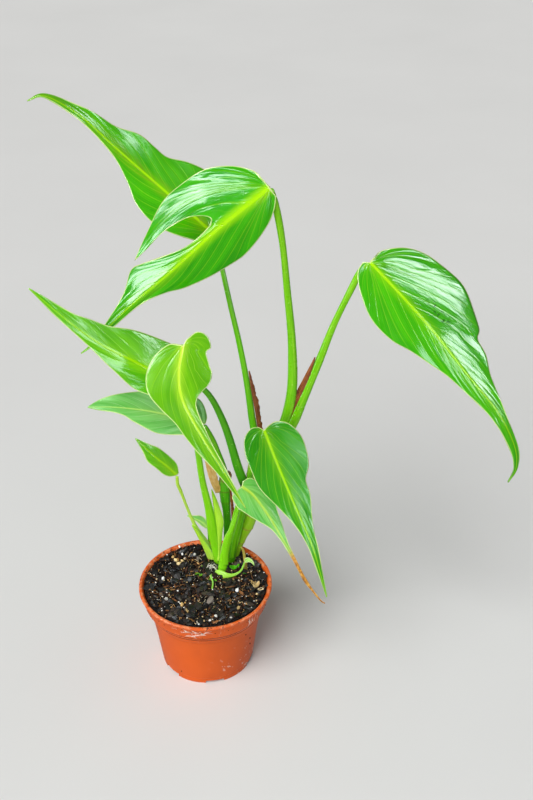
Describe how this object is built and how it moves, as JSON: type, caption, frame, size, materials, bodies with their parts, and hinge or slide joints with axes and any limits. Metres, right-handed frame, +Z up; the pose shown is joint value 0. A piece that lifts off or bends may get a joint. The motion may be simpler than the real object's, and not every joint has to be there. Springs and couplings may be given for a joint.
{
  "type": "potted monstera",
  "caption": "Young climbing aroid with long, narrow, lobed leaves on tall stalks, standing in a small round plastic nursery pot of soil.",
  "frame": {"origin": "middle of the pot's underside, on the surface the pot stands on", "axes": "+Z up along the pot's axis, +X to the right and +Y to the back of the plant"},
  "size_m": [0.3899, 0.1774, 0.5009],
  "materials": {
    "pot": "satin terracotta-orange moulded plastic",
    "soil": "dark loose peat and bark with pale grains",
    "stem": "smooth yellow-green stem with rings",
    "old_stem": "smooth dark green stem with a brown top",
    "petiole": "smooth, slightly glossy green stalk",
    "blade": "glossy green leaf",
    "young_blade": "glossy yellow-green young leaf",
    "pale_blade": "satin pale green leaf",
    "dry_sheath": "dry red-brown sheath",
    "tan_sheath": "dry tan sheath",
    "shoot": "smooth pale green shoot",
    "root": "smooth pale root"
  },
  "bodies": {
    "root": {"pot": "pot", "soil": "soil", "stem_main": "stem", "stem_second": "old_stem", "petiole_top_back": "petiole", "petiole_top_front": "petiole", "petiole_mid_left": "petiole", "petiole_center": "petiole", "petiole_low_left": "petiole", "petiole_small_left": "shoot", "petiole_right_big": "petiole", "petiole_right_center": "petiole", "petiole_behind_center": "petiole", "petiole_seedling": "petiole", "blade_top_back": "blade", "blade_top_front": "blade", "blade_mid_left": "blade", "blade_center": "young_blade", "blade_low_left": "pale_blade", "blade_small_left": "blade", "blade_right_big": "blade", "blade_right_center": "blade", "blade_behind_center": "pale_blade", "blade_seedling": "pale_blade", "blade_shoot": "pale_blade", "ground_shoot": "shoot", "sheath_tall": "dry_sheath", "sheath_back": "dry_sheath", "sheath_low": "dry_sheath", "cataphyll": "tan_sheath", "dry_strip": "tan_sheath", "pale_root": "root"}
  },
  "joints": []
}
